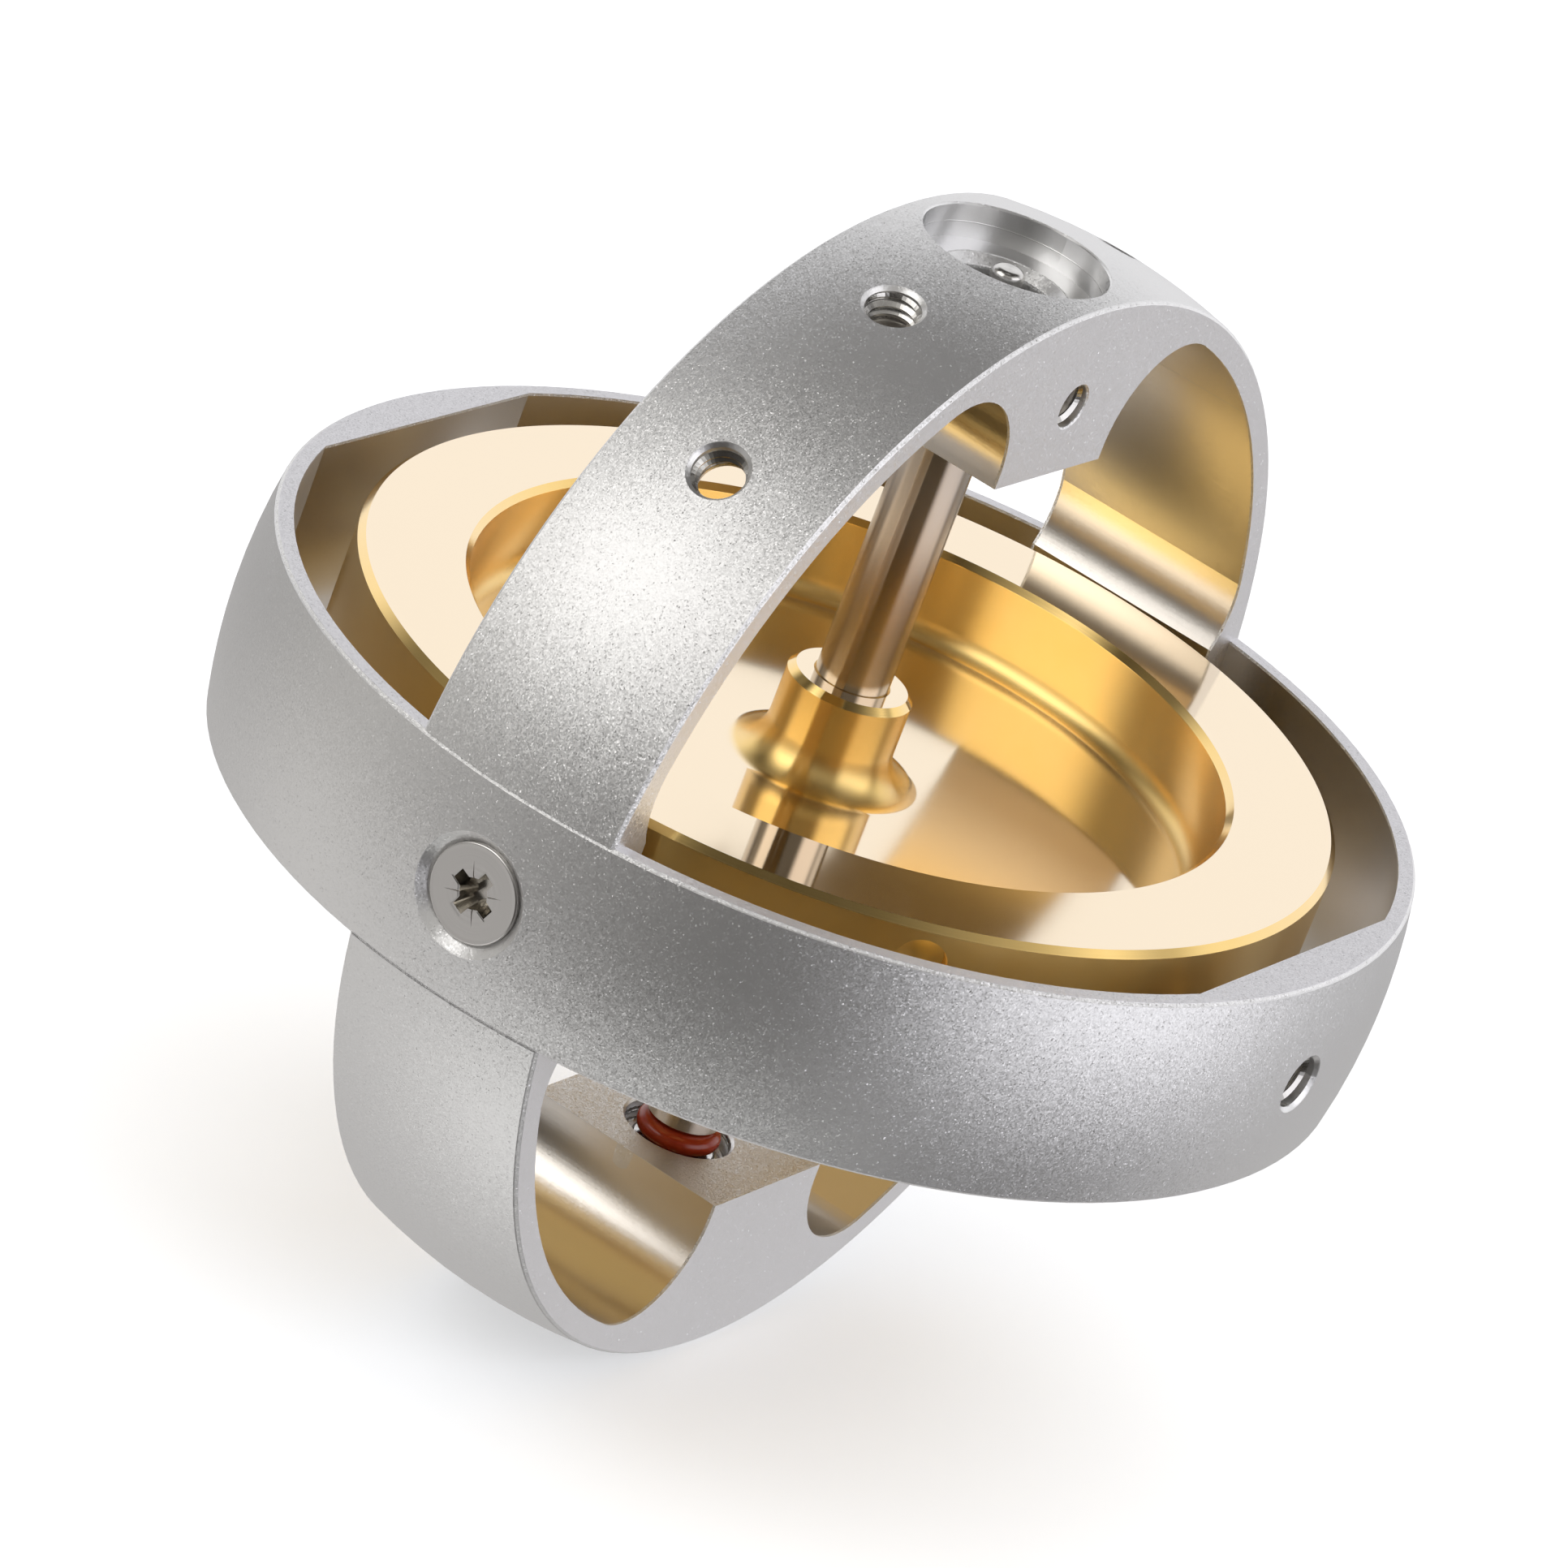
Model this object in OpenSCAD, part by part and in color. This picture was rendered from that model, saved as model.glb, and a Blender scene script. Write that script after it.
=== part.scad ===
// Precision gyroscope: a brass rotor on a steel axle, inside two crossed rings cut from
// one sphere. The upright ring carries the axle's two ball bearings in threaded holders at
// its poles. The level ring lies flush in a notch round the upright one, held by two screws.
// Origin: centre of the sphere. +Z: up the axle, towards the pole with the lock screw.
// +X: to the right. -Y: to the front, the side that the lock screw goes in from.

/* [Rings] */
// Outside diameter of the sphere that both rings belong to
sphere_d = 65; // [62:0.5:75]
// Width of the upright ring, front to back
axle_ring_w = 12.5; // [12:0.1:15]
// Wall of the upright ring round its window
axle_ring_wall = 2.1; // [1.8:0.1:2.6]
// Height of the level ring
girdle_w = 12.1; // [10:0.1:12.5]
// Wall of the level ring, all the way round
girdle_wall = 1.55; // [1.3:0.05:1.8]
// Wall of the level ring at the middle of its front and back flats
girdle_flat_wall = 3.1; // [2.4:0.1:3.6]
// Bright bevel along the outer edges of both rings
edge_bevel = 0.15; // [0.1:0.01:0.3]

/* [Window] */
// Width of the boss at each pole
boss_w = 10.44; // [9:0.1:12]
// Height of each boss, from the top of the sphere to its inner face
boss_depth = 10.4; // [10:0.1:11]
// Radius of the window's eight corners
corner_r = 5.3; // [4:0.1:6]
// Depth of both rings together at the side screws
land_depth = 4.2; // [3.9:0.1:4.6]
// Height of the corners beside the side screws
land_corner_h = 8.38; // [8:0.1:9]

/* [Pole cups] */
// Diameter of the turned cup in each pole
cup_d = 10.3; // [9:0.1:10.8]
// Depth of the cup, from the top of the sphere
cup_depth = 2.4; // [1.8:0.1:2.8]
// Bevel round the cup's rim
cup_bevel = 0.12; // [0.05:0.01:0.2]
// Thread diameter of the hole for the bearing holder
holder_hole_d = 6.1; // [5.8:0.1:6.6]
// Diameter of the bevel where that hole meets the cup's floor
holder_hole_bevel_d = 7.2; // [6.8:0.1:7.6]
// Bevel where that hole meets the boss's inner face
inner_bevel = 0.15; // [0.05:0.05:0.3]

/* [Small threaded holes] */
// Thread diameter of the small holes in the sphere
hole_d = 3; // [2.5:0.1:3.2]
// Bevel at the mouth of those holes
hole_bevel = 0.22; // [0.1:0.02:0.3]
// Thread diameter of the lock screw's hole
lock_hole_d = 2.5; // [2.2:0.1:2.6]
// Bevel at the mouth of the lock screw's hole
lock_hole_bevel = 0.08; // [0.06:0.01:0.2]
// Angle of the upper pair of holes from the pole
high_hole_angle = 20; // [19:1:24]
// Angle of the lower pair of holes from the pole
low_hole_angle = 45; // [40:1:55]
// Height of the lock screw's hole above the boss's inner face
lock_hole_h = 4; // [3.6:0.1:4.2]

/* [Rotor] */
// Free space between the rotor and the upright ring's side lands
rotor_gap = 0.9; // [0.6:0.1:1.5]
// Height of the rotor's rim and hub
rotor_h = 12.5; // [10:0.1:14]
// Thickness of the rim, from the outside to the pocket
rim_t = 6.2; // [4:0.1:8]
// Thickness of the web between the two pockets
web_t = 2.16; // [1.6:0.1:3]
// Diameter of the hub
hub_d = 7; // [6:0.1:9]
// Bevel on the rim's outer edges
rim_bevel = 0.36; // [0.2:0.02:0.8]
// Bevel on the pocket's edge
lip_bevel = 0.34; // [0.2:0.02:0.5]
// Bevel on the hub's outer edge
hub_bevel = 0.37; // [0.2:0.01:0.5]
// Bevel where the axle leaves the hub
bore_bevel = 0.1; // [0.05:0.05:0.3]
// Fillet between the pocket's wall and the web
wall_fillet = 1.15; // [0.6:0.05:2]
// Fillet between the hub and the web
hub_fillet = 2; // [1:0.1:3]
// Diameter of the balance drilling in the rim
balance_d = 3; // [2:0.1:3.5]
// Depth of the balance drilling's straight part
balance_depth = 1.2; // [0.5:0.1:3]
// Height of the balance drilling above the rotor's middle
balance_h = 3.94; // [3.5:0.1:4]
// Direction of the balance drilling
balance_angle = -136.5; // [-180:0.5:180]

/* [Axle] */
// Diameter of the axle between its shoulders
axle_d = 4.1; // [3.5:0.1:5]
// From the boss's inner face to the axle's shoulder
shoulder_gap = 0.65; // [0.4:0.05:0.9]
// Diameter of the neck that the red ring sits on
neck_d = 2.26; // [2.1:0.02:2.34]
// Diameter of the collar that the bearing sits against
collar_d = 2.8; // [2.6:0.02:2.9]
// Width of that collar
collar_w = 0.2; // [0.15:0.05:0.3]
// Diameter of the axle in the bearings
journal_d = 2.38; // [2.3:0.02:2.42]
// Diameter of the axle's free ends
end_d = 1.86; // [1.7:0.02:1.96]
// From the bearing holder to the free end
end_inset = 0.2; // [0.1:0.05:0.4]
// From the top of the sphere to the end of the axle
tip_depth = 1.5; // [1:0.1:2.5]
// Rounding of the axle's free ends
tip_round = 0.28; // [0.1:0.02:0.4]
// Bevel on the axle's shoulders
axle_bevel = 0.15; // [0.05:0.05:0.3]
// Thickness of the red ring's cord
seal_cord_d = 1.26; // [1.1:0.02:1.3]

/* [Bearings] */
// Outside diameter of each ball bearing
bearing_d = 4.76; // [4.7:0.02:4.9]
// Width of each ball bearing
bearing_w = 2.38; // [2:0.02:2.6]
// From the boss's inner face to the bearing
bearing_inset = 0.95; // [0.85:0.05:1.1]
// Diameter of the circle through the balls
ball_circle_d = 3.57; // [3.54:0.01:3.6]
// Diameter of each ball
ball_d = 0.79; // [0.7:0.01:0.8]
// Number of balls in each bearing
ball_count = 7; // [6:1:7]
// Diameter of the outer race beside its groove
outer_land_d = 4.1; // [4.04:0.02:4.14]
// Diameter of the inner race beside its groove
inner_land_d = 3.04; // [3:0.02:3.1]
// Diameter of the seat for each shield
shield_d = 4.3; // [4.2:0.02:4.4]
// Diameter of the hole in each shield
shield_hole_d = 3.2; // [3.16:0.02:3.3]
// Thickness of each shield
shield_t = 0.15; // [0.1:0.01:0.2]
// Height of the cage
cage_h = 1.1; // [1.04:0.02:1.2]
// Thickness of the cage, from inside to outside
cage_t = 0.34; // [0.2:0.02:0.38]

/* [Bearing holders] */
// Length of each holder
holder_len = 4.5; // [4:0.1:5.5]
// From the boss's inner face to the holder
holder_inset = 1.05; // [1:0.05:1.3]
// Diameter of the hole in the lip that stops the bearing
holder_lip_d = 3.8; // [3.4:0.1:4.4]
// Width of the two slots that the holder is turned by
slot_w = 0.9; // [0.6:0.1:1.2]
// Depth of those slots
slot_depth = 0.8; // [0.5:0.1:1]
// Bevel on the holder's ends
holder_bevel = 0.2; // [0.1:0.05:0.3]

/* [Screws] */
// Diameter of the side screws' heads
head_d = 5.38; // [5:0.02:5.6]
// Height of the straight edge of those heads
head_edge = 0.28; // [0.2:0.02:0.3]
// Diameter of the countersink where it meets the sphere
countersink_d = 6.66; // [6.2:0.02:7]
// Length of the side screws, head and all
screw_len = 3.5; // [3:0.1:3.6]
// Length of each wing of the cross in the side screws' heads
cross_r = 1.35; // [1.1:0.05:1.6]
// Width of those wings
cross_w = 0.55; // [0.4:0.05:0.7]
// Depth of the cross
cross_depth = 1.1; // [0.8:0.1:1.3]
// From the upright ring's front face to the lock screw
lock_screw_inset = 1; // [0.5:0.1:1.5]
// Width of the lock screw's six-sided socket, across its corners
socket_d = 1.5; // [1.3:0.01:1.6]
// Depth of that socket
socket_depth = 0.9; // [0.5:0.1:1.2]

/* [Hidden] */
$fn = 96;

// Clearances
thread_gap = 0.02;
race_gap = 0.01;
groove_gap = 0.02;
seal_gap = 0.01;
seat_gap = 0.02;
shield_inset = 0.05;
race_bevel = 0.12;

// How far a corner's circle runs past the two lines that it rounds
corner_overlap = 0.005;
// The same for the small rounding of the axle's ends
tip_overlap = 0.002;
// How far every cut runs past the surface that it opens
overrun = 1;

// Rings
sphere_r = sphere_d / 2;
window_r = sphere_r - axle_ring_wall;
girdle_bore_r = sphere_r - girdle_wall;
girdle_flat_y = sphere_r - girdle_flat_wall;
land_x = sphere_r - land_depth;
boss_face_z = sphere_r - boss_depth;
corner_reach = window_r - corner_r + corner_overlap;
boss_corner_x = boss_w / 2 + corner_r - corner_overlap;
boss_corner_z = sqrt(pow(corner_reach, 2) - pow(boss_corner_x, 2));
land_corner_x = sqrt(pow(corner_reach, 2) - pow(land_corner_h, 2));

// Pole cups
cup_r = cup_d / 2;
cup_floor_z = sphere_r - cup_depth;
cup_rim_z = sqrt(pow(sphere_r, 2) - pow(cup_r, 2));
holder_hole_r = holder_hole_d / 2;
holder_hole_bevel = holder_hole_bevel_d / 2 - holder_hole_r;

// Small holes
hole_r = hole_d / 2;
hole_mouth = sqrt(pow(sphere_r, 2) - pow(hole_r + hole_bevel, 2));
lock_hole_r = lock_hole_d / 2;
lock_hole_z = boss_face_z + lock_hole_h;

// Rotor and axle
rotor_r = land_x - rotor_gap;
pocket_r = rotor_r - rim_t;
hub_r = hub_d / 2;
web_z = web_t / 2;
axle_r = axle_d / 2;
shoulder_z = boss_face_z - shoulder_gap;
bearing_z = boss_face_z + bearing_inset;
collar_z = bearing_z - collar_w;
tip_z = sphere_r - tip_depth;
journal_r = journal_d / 2;
end_r = end_d / 2;
seal_r = neck_d / 2 + seal_gap + seal_cord_d / 2;
seal_z = (shoulder_z + collar_z) / 2;

// Bearings and holders
ball_circle_r = ball_circle_d / 2;
groove_r = ball_d / 2 + groove_gap;
bearing_r = bearing_d / 2;
bearing_mid_z = bearing_z + bearing_w / 2;
shield_seat = shield_t + shield_inset;
holder_z = boss_face_z + holder_inset;
holder_r = holder_hole_r - thread_gap;
end_z = holder_z + holder_len + end_inset;

// Screws
countersink_z = sqrt(pow(sphere_r, 2) - pow(countersink_d / 2, 2));
countersink_tip_z = countersink_z - countersink_d / 2;
shank_r = hole_r - thread_gap;
lock_shank_r = lock_hole_r - thread_gap;
head_seat_z = countersink_tip_z + head_d / 2 + seat_gap;
head_top_z = head_seat_z + head_edge;
shank_z = countersink_tip_z + shank_r + seat_gap;

// The same outline on both sides of the X axis, from its upper half
function up_and_down(points) =
    concat(points, [for (i = [len(points) - 1 : -1 : 0]) [points[i].x, -points[i].y]]);

// The same outline on both sides of the Y axis, from its right half
function left_and_right(points) =
    concat(points, [for (i = [len(points) - 1 : -1 : 0]) [-points[i].x, points[i].y]]);

// A point beyond the sphere, in the direction of another
function beyond(point) = point * (sphere_r + overrun) / norm(point);

// Half section of a slice of the sphere, with bevelled edges
module slice_section(w) {
    edge_r = sqrt(pow(sphere_r, 2) - pow(w / 2, 2)) - edge_bevel;
    intersection() {
        circle(r = sphere_r);
        polygon(up_and_down([[0, w / 2], [edge_r, w / 2], [edge_r + w / 4, w / 4]]));
    }
}

// Inside outline of the level ring, flat at the front and back
module girdle_opening() {
    intersection() {
        circle(r = girdle_bore_r);
        square([2 * sphere_r, 2 * girdle_flat_y], center = true);
    }
}

// What stays of the window's circle at the upper pole
module boss_outline() {
    corner = [boss_corner_x, boss_corner_z];
    difference() {
        polygon(left_and_right([
            [boss_w / 2, boss_face_z], [boss_w / 2, corner.y], corner, beyond(corner),
            [boss_w / 2, sphere_r + overrun]
        ]));
        for (side = [-1, 1])
            translate([side * corner.x, corner.y]) circle(r = corner_r);
    }
}

// What stays of the window's circle at the right-hand screw
module land_outline() {
    corner = [land_corner_x, land_corner_h];
    difference() {
        polygon(up_and_down([beyond(corner), corner, [land_x, corner.y]]));
        for (side = [-1, 1])
            translate([corner.x, side * corner.y]) circle(r = corner_r);
    }
}

// Outline of the upright ring's window, X to the right and Z up
module window_outline() {
    difference() {
        circle(r = window_r);
        for (end = [0, 1])
            mirror([0, end]) boss_outline();
        for (side = [0, 1])
            mirror([side, 0]) land_outline();
    }
}

// Cut for the cup, the holder's hole and their bevels at the upper pole
module pole_cut() {
    translate([0, 0, boss_face_z - overrun])
        cylinder(r = holder_hole_r, h = cup_floor_z - boss_face_z + 2 * overrun);
    translate([0, 0, boss_face_z - overrun])
        cylinder(r1 = holder_hole_r + inner_bevel + overrun, r2 = holder_hole_r, h = inner_bevel + overrun);
    translate([0, 0, cup_floor_z - holder_hole_bevel])
        cylinder(r1 = holder_hole_r, r2 = holder_hole_r + holder_hole_bevel + overrun,
                 h = holder_hole_bevel + overrun);
    translate([0, 0, cup_floor_z])
        cylinder(r = cup_r, h = cup_depth + overrun);
    translate([0, 0, cup_rim_z - cup_bevel])
        cylinder(r1 = cup_r, r2 = cup_r + cup_bevel + overrun, h = cup_bevel + overrun);
}

// Cut for a small threaded hole up the Z axis, with a bevelled mouth
module small_hole_cut(r, bevel, from_z, mouth_z) {
    translate([0, 0, from_z])
        cylinder(r = r, h = mouth_z - from_z + overrun);
    translate([0, 0, mouth_z - bevel])
        cylinder(r1 = r, r2 = r + bevel + overrun, h = bevel + overrun);
}

// Cut for a side screw up the Z axis: threaded hole and countersink
module screw_cut() {
    translate([0, 0, land_x - overrun])
        cylinder(r = hole_r, h = land_depth + 2 * overrun);
    translate([0, 0, countersink_tip_z])
        cylinder(r1 = 0, r2 = countersink_d / 2 + overrun, h = countersink_d / 2 + overrun);
}

// Upright ring with the pole bosses, its window, and a notch for the level ring
module axle_ring() {
    color("silver")
    difference() {
        rotate([90, 0, 0]) rotate_extrude() slice_section(axle_ring_w);
        rotate([90, 0, 0])
            linear_extrude(axle_ring_w + 2 * overrun, center = true) window_outline();
        linear_extrude(girdle_w, center = true)
            difference() {
                circle(r = sphere_r + overrun);
                girdle_opening();
            }
        for (end = [0, 1])
            mirror([0, 0, end]) pole_cut();
        for (side = [-1, 1], angle = [high_hole_angle, low_hole_angle])
            rotate([0, side * angle, 0])
                small_hole_cut(hole_r, hole_bevel, window_r - hole_d, hole_mouth);
        for (side = [-1, 1])
            rotate([0, side * 90, 0]) screw_cut();
        translate([0, 0, lock_hole_z])
            rotate([90, 0, 0]) small_hole_cut(lock_hole_r, lock_hole_bevel, 0, axle_ring_w / 2);
    }
}

// Level ring, flush with the upright one, with flats at the front and back
module girdle_ring() {
    color("lightgray")
    difference() {
        rotate_extrude() slice_section(girdle_w);
        linear_extrude(girdle_w + 2 * overrun, center = true) girdle_opening();
        for (side = [-1, 1])
            rotate([side * 90, 0, 0])
                small_hole_cut(hole_r, hole_bevel, girdle_flat_y - overrun, hole_mouth);
        for (side = [-1, 1])
            rotate([0, side * 90, 0]) screw_cut();
    }
}

// Countersunk screw up the Z axis that holds both rings together
module ring_screw() {
    color("gray")
    difference() {
        rotate_extrude() polygon([
            [0, head_top_z - screw_len], [shank_r - hole_bevel, head_top_z - screw_len],
            [shank_r, head_top_z - screw_len + hole_bevel], [shank_r, shank_z],
            [head_d / 2, head_seat_z], [head_d / 2, head_top_z], [0, head_top_z]
        ]);
        for (turn = [0, 90])
            rotate([0, 0, turn]) translate([-cross_r, -cross_w / 2, head_top_z - cross_depth])
                cube([2 * cross_r, cross_w, cross_depth + overrun]);
    }
}

// Set screw that stops the upper bearing holder from turning
module holder_lock_screw() {
    top = axle_ring_w / 2 - lock_screw_inset;
    color("dimgray")
    translate([0, 0, lock_hole_z])
    rotate([90, 0, 0])
    difference() {
        translate([0, 0, holder_r + seat_gap])
            cylinder(r = lock_shank_r, h = top - holder_r - seat_gap);
        translate([0, 0, top - socket_depth])
            cylinder(d = socket_d, h = socket_depth + overrun, $fn = 6);
    }
}

// Half section of the rotor's rim, web and hub
module flywheel_section() {
    top = rotor_h / 2;
    hub_corner = [hub_r + hub_fillet - corner_overlap, web_z + hub_fillet - corner_overlap];
    wall_corner = [pocket_r - wall_fillet + corner_overlap, web_z + wall_fillet - corner_overlap];
    difference() {
        polygon(up_and_down([
            [axle_r, top - bore_bevel], [axle_r + bore_bevel, top],
            [hub_r - hub_bevel, top], [hub_r, top - hub_bevel],
            [hub_r, hub_corner.y], hub_corner, [hub_corner.x, web_z],
            [wall_corner.x, web_z], wall_corner, [pocket_r, wall_corner.y],
            [pocket_r, top - lip_bevel], [pocket_r + lip_bevel, top],
            [rotor_r - rim_bevel, top], [rotor_r, top - rim_bevel]
        ]));
        for (end = [0, 1])
            mirror([0, end]) {
                translate(hub_corner) circle(r = hub_fillet);
                translate(wall_corner) circle(r = wall_fillet);
            }
    }
}

// Brass rotor: heavy rim, thin web and hub, with one balance drilling in the rim
module flywheel() {
    color("goldenrod")
    difference() {
        rotate_extrude() flywheel_section();
        rotate([0, 0, balance_angle]) translate([rotor_r - balance_depth, 0, balance_h])
            rotate([0, 90, 0]) {
                cylinder(d = balance_d, h = balance_depth + overrun);
                translate([0, 0, -balance_d / 4]) cylinder(d1 = 0, d2 = balance_d, h = balance_d / 4);
            }
    }
}

// Half section of the axle
module axle_section() {
    difference() {
        polygon(up_and_down([
            [0, tip_z], [end_r, tip_z], [end_r, end_z],
            [journal_r, end_z], [journal_r, bearing_z],
            [collar_d / 2, bearing_z], [collar_d / 2, collar_z],
            [neck_d / 2, collar_z], [neck_d / 2, shoulder_z],
            [axle_r - axle_bevel, shoulder_z], [axle_r, shoulder_z - axle_bevel]
        ]));
        for (end = [0, 1])
            mirror([0, end]) translate([end_r - tip_round, tip_z - tip_round])
                difference() {
                    square(tip_round + overrun);
                    circle(r = tip_round + tip_overlap);
                }
    }
}

// Steel axle: shoulders, necks for the red rings, collars, journals and thin ends
module axle() {
    color("lightsteelblue") rotate_extrude() axle_section();
}

// Threaded sleeve that holds a bearing and is turned to set its play
module bearing_holder() {
    color("slategray")
    difference() {
        rotate_extrude() polygon([
            [holder_lip_d / 2, bearing_z + bearing_w], [bearing_r + race_gap, bearing_z + bearing_w],
            [bearing_r + race_gap, holder_z], [holder_r - holder_bevel, holder_z],
            [holder_r, holder_z + holder_bevel], [holder_r, holder_z + holder_len - holder_bevel],
            [holder_r - holder_bevel, holder_z + holder_len], [holder_lip_d / 2, holder_z + holder_len]
        ]);
        translate([-holder_hole_r, -slot_w / 2, holder_z + holder_len - slot_depth])
            cube([holder_hole_d, slot_w, slot_depth + overrun]);
    }
}

// Groove for the balls, seen in section
module groove_section() {
    translate([ball_circle_r, 0]) circle(r = groove_r);
}

// Outer race, with a step at each end for a shield
module outer_race() {
    end = bearing_w / 2;
    color("gainsboro")
    translate([0, 0, bearing_mid_z]) rotate_extrude()
        difference() {
            polygon(up_and_down([
                [bearing_r, end - race_bevel], [bearing_r - race_bevel, end],
                [shield_d / 2, end], [shield_d / 2, end - shield_seat],
                [outer_land_d / 2, end - shield_seat]
            ]));
            groove_section();
        }
}

// Inner race, turning with the axle
module inner_race() {
    end = bearing_w / 2;
    color("whitesmoke")
    translate([0, 0, bearing_mid_z]) rotate_extrude()
        difference() {
            polygon(up_and_down([
                [inner_land_d / 2, end], [journal_r + race_gap, end]
            ]));
            groove_section();
        }
}

// One child at the place of each ball, with +Z pointing outwards
module at_each_ball() {
    translate([0, 0, bearing_mid_z])
    for (i = [0 : ball_count - 1])
        rotate([0, 90, i * 360 / ball_count]) translate([0, 0, ball_circle_r]) children();
}

// Ring of balls
module bearing_balls() {
    color("white") at_each_ball() sphere(d = ball_d);
}

// Cage that keeps the balls apart, with a round window for each
module ball_cage() {
    color("peru")
    difference() {
        translate([0, 0, bearing_mid_z]) rotate_extrude()
            translate([ball_circle_r, 0]) square([cage_t, cage_h], center = true);
        at_each_ball() cylinder(r = groove_r, h = 2 * cage_t, center = true);
    }
}

// Two thin discs that close the bearing
module bearing_shields() {
    color("darkgray")
    for (z = [bearing_z + shield_inset, bearing_z + bearing_w - shield_seat])
        translate([0, 0, z]) rotate_extrude()
            translate([shield_hole_d / 2, 0]) square([(shield_d - shield_hole_d) / 2, shield_t]);
}

// Red rubber ring between the axle's shoulder and its collar
module o_ring() {
    color("firebrick")
    translate([0, 0, seal_z]) rotate_extrude() translate([seal_r, 0]) circle(d = seal_cord_d);
}

// The same piece at the lower pole
module below() {
    mirror([0, 0, 1]) children();
}

axle_ring();
girdle_ring();
rotate([0, -90, 0]) ring_screw();  // ring_screw_left
rotate([0, 90, 0]) ring_screw();  // ring_screw_right
flywheel();
axle();
bearing_holder();  // upper_bearing_holder
below() bearing_holder();  // lower_bearing_holder
holder_lock_screw();
outer_race();  // upper_outer_race
below() outer_race();  // lower_outer_race
inner_race();  // upper_inner_race
below() inner_race();  // lower_inner_race
bearing_balls();  // upper_bearing_balls
below() bearing_balls();  // lower_bearing_balls
ball_cage();  // upper_ball_cage
below() ball_cage();  // lower_ball_cage
bearing_shields();  // upper_bearing_shields
below() bearing_shields();  // lower_bearing_shields
o_ring();  // upper_o_ring
below() o_ring();  // lower_o_ring
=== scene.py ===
import math

import bmesh
import bpy
from mathutils import Matrix, Vector


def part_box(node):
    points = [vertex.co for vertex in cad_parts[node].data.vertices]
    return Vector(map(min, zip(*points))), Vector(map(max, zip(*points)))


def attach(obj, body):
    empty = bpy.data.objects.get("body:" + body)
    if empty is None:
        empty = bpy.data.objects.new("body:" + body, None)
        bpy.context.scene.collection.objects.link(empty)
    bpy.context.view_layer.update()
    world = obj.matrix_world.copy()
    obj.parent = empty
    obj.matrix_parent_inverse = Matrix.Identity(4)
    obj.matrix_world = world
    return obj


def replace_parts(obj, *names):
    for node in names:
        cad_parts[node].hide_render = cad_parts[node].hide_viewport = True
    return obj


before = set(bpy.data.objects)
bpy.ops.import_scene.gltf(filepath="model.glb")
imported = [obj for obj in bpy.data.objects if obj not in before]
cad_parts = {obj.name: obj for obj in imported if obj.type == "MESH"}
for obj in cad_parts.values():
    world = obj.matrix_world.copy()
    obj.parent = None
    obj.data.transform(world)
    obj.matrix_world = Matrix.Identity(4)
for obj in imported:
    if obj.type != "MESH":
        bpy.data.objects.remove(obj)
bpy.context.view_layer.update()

# Sizes and places are in millimetres, and angles in degrees, of the row's frame
MM = 0.001

# Camera
CAMERA_PLACE = (-398.73, -192.63, 194.70)
CAMERA_AZIMUTH = -64.07
CAMERA_ELEVATION = 23.855
CAMERA_ROLL = 21.04
CAMERA_LENS = 208.66
CAMERA_SENSOR = 36.0
CAMERA_SHIFT = (-0.00186, 0.00321)
CAMERA_SEES = (10, 20000)

# Studio light: what the room shows in each direction. Each soft box has the azimuth and the
# elevation of its middle, its half width and half height in degrees, and its colour. Its edges
# fade over BOX_EDGE degrees.
ROOM_LEVEL = (0.045, 0.04, 0.035)
BOX_EDGE = 20
SOFTBOXES = {
    "key": (150, 35.5, 27, 20, (1.95, 1.92, 1.88)),
    "right": (-84.5, 11, 31, 32, (1.5, 1.49, 1.56)),
    "back": (19.7, 16.5, 66, 25.5, (1.07, 1.07, 1.09)),
    "side": (114.7, 0, 19.5, 40.5, (0.34, 0.33, 0.31)),
    "floor": (62, -58.4, 110, 40, (0.55, 0.54, 0.535)),
    "near_floor": (-165, -63, 50, 16, (1.15, 1.15, 1.13)),
    "top_left": (-142.3, 43, 90, 15, (0.5, 0.49, 0.47)),
    "overhead": (0, 90, 360, 9, (0.45, 0.445, 0.44)),
}

# Floor. Its lift towards white goes from the near value to the far one between two distances. The
# weaker lift near the middle is painted shade that deepens the shadow.
FLOOR_DEPTH = -32.08
FLOOR_HALF = 3000
FLOOR_COLOUR = (0.87, 0.89, 0.92)
FLOOR_LIFT_NEAR = 0.33
FLOOR_LIFT_FAR = 0.62
FLOOR_NEAR = 8
FLOOR_FAR = 42

# Sizes of the rings that the finishes and the threads follow
SPHERE_R = 32.5
RING_HALF = 6.25
GIRDLE_HALF = 6.05
WINDOW_R = 30.4
GIRDLE_FLAT = 29.4
CUP_R = 5.15
CUP_FLOOR = 30.1
CUP_LINE = 31.0
CUP_LINE_HALF = 0.035
CUP_LINE_SLOPE = 0.8
EDGE_BEVEL = 0.16
BOSS_FACE = 22.1
BOSS_HALF = 5.22
CORNER_R = 5.3
BOSS_CORNER_X = BOSS_HALF + CORNER_R
MACHINED_R = 30.74
GIRDLE_MACHINED_R = 31.24
# How far the finish of the outside, a flat face, a boss, the cup and its edges reaches
OUTSIDE_DEPTH = 0.05
FACE_DEPTH = 0.02
BOSS_DEPTH = 0.03
CUP_MARGIN = 0.1
LIP_HALF = 0.05
CREST_HALF = 0.04
LIP_DEPTH = 0.7

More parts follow.
